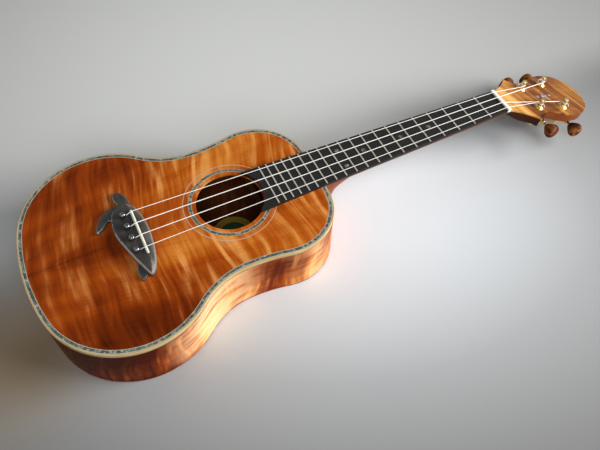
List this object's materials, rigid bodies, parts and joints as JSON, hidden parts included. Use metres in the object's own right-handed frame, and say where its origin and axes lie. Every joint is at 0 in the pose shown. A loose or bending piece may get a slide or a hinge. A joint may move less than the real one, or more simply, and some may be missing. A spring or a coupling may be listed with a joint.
{
  "type": "ukulele",
  "caption": "Tenor ukulele with a figured wooden body, shell rosette and purfling, whale-shaped pin bridge, bound top, nylon strings and geared tuners that turn.",
  "frame": {"origin": "on the flat back, on the centreline, midway between the tail and the front of the body", "axes": "+X along the neck towards the head, +Y to the bass side, +Z out of the soundboard"},
  "size_m": [0.687, 0.2382, 0.0778],
  "materials": {
    "black_gloss": "black, polished",
    "bridge_wood": "dark grey-brown hardwood, satin",
    "button_wood": "reddish rosewood, polished",
    "cream": "cream binding",
    "dark_line": "thin dark line",
    "ebony": "black hardwood, satin",
    "fret_metal": "nickel silver, polished",
    "gold": "gold plate, polished",
    "inside_wood": "bare spruce and mahogany",
    "koa_head": "figured koa, gloss lacquer",
    "koa_side": "figured koa, gloss lacquer",
    "koa_top": "figured koa, gloss lacquer",
    "mahogany": "mahogany, satin lacquer",
    "nylon": "clear to white nylon",
    "paper": "printed paper",
    "shell": "polished abalone shell",
    "steel": "zinc-plated steel",
    "white_bone": "polished bone"
  },
  "bodies": {
    "instrument": {"back_braces": "inside_wood", "back_lining": "inside_wood", "back_plate": "koa_side", "bridge": "bridge_wood", "bridge_pins": "black_gloss", "bridge_plate": "inside_wood", "end_strip": "koa_side", "fan_braces": "inside_wood", "fretboard": "ebony", "frets": "fret_metal", "head_inlay": "shell", "head_plate": "koa_head", "heel_cap": "mahogany", "label": "paper", "neck": "mahogany", "neck_block": "inside_wood", "neck_bolts": "steel", "neck_inserts": "gold", "nut": "white_bone", "position_dots": "shell", "purfling_lines": "dark_line", "purfling_shell": "shell", "rosette_lines": "dark_line", "rosette_outer_ring": "white_bone", "rosette_shell": "shell", "saddle": "white_bone", "side_bass": "koa_side", "side_line": "dark_line", "side_treble": "koa_side", "soundboard": "koa_top", "string_a": "nylon", "string_c": "nylon", "string_e": "nylon", "string_g": "nylon", "tail_block": "inside_wood", "top_binding": "cream", "top_lining": "inside_wood", "transverse_braces": "inside_wood", "tuner_bushings": "gold", "tuner_case_a": "gold", "tuner_case_c": "gold", "tuner_case_e": "gold", "tuner_case_g": "gold", "tuner_screws": "gold"},
    "post_g": {"tuner_post_g": "gold", "string_turns_g": "nylon"},
    "key_g": {"tuner_worm_g": "gold", "tuner_button_g": "button_wood"},
    "post_c": {"tuner_post_c": "gold", "string_turns_c": "nylon"},
    "key_c": {"tuner_worm_c": "gold", "tuner_button_c": "button_wood"},
    "post_e": {"tuner_post_e": "gold", "string_turns_e": "nylon"},
    "key_e": {"tuner_worm_e": "gold", "tuner_button_e": "button_wood"},
    "post_a": {"tuner_post_a": "gold", "string_turns_a": "nylon"},
    "key_a": {"tuner_worm_a": "gold", "tuner_button_a": "button_wood"}
  },
  "joints": [
    {"name": "key_turn_g", "type": "hinge", "parent": "instrument", "child": "key_g", "pos_m": [0.45142, 0.0173, 0.03108], "axis": [0, 1, 0], "continuous": true},
    {"name": "post_turn_g", "type": "hinge", "parent": "instrument", "child": "post_g", "pos_m": [0.44536, 0.0173, 0.04741], "axis": [0.2876, 0, 0.9577], "continuous": true},
    {"name": "key_turn_c", "type": "hinge", "parent": "instrument", "child": "key_c", "pos_m": [0.48925, 0.0212, 0.01971], "axis": [0, 1, 0], "continuous": true},
    {"name": "post_turn_c", "type": "hinge", "parent": "instrument", "child": "post_c", "pos_m": [0.48319, 0.0212, 0.03605], "axis": [0.2876, 0, 0.9577], "continuous": true},
    {"name": "key_turn_e", "type": "hinge", "parent": "instrument", "child": "key_e", "pos_m": [0.48925, -0.0212, 0.01971], "axis": [0, -1, 0], "continuous": true},
    {"name": "post_turn_e", "type": "hinge", "parent": "instrument", "child": "post_e", "pos_m": [0.48319, -0.0212, 0.03605], "axis": [0.2876, 0, 0.9577], "continuous": true},
    {"name": "key_turn_a", "type": "hinge", "parent": "instrument", "child": "key_a", "pos_m": [0.45142, -0.0173, 0.03108], "axis": [0, -1, 0], "continuous": true},
    {"name": "post_turn_a", "type": "hinge", "parent": "instrument", "child": "post_a", "pos_m": [0.44536, -0.0173, 0.04741], "axis": [0.2876, 0, 0.9577], "continuous": true}
  ],
  "couplings": [
    {"joint": "post_turn_g", "follows": "key_turn_g", "ratio": 0.0625},
    {"joint": "post_turn_c", "follows": "key_turn_c", "ratio": 0.0625},
    {"joint": "post_turn_e", "follows": "key_turn_e", "ratio": -0.0625},
    {"joint": "post_turn_a", "follows": "key_turn_a", "ratio": -0.0625}
  ]
}
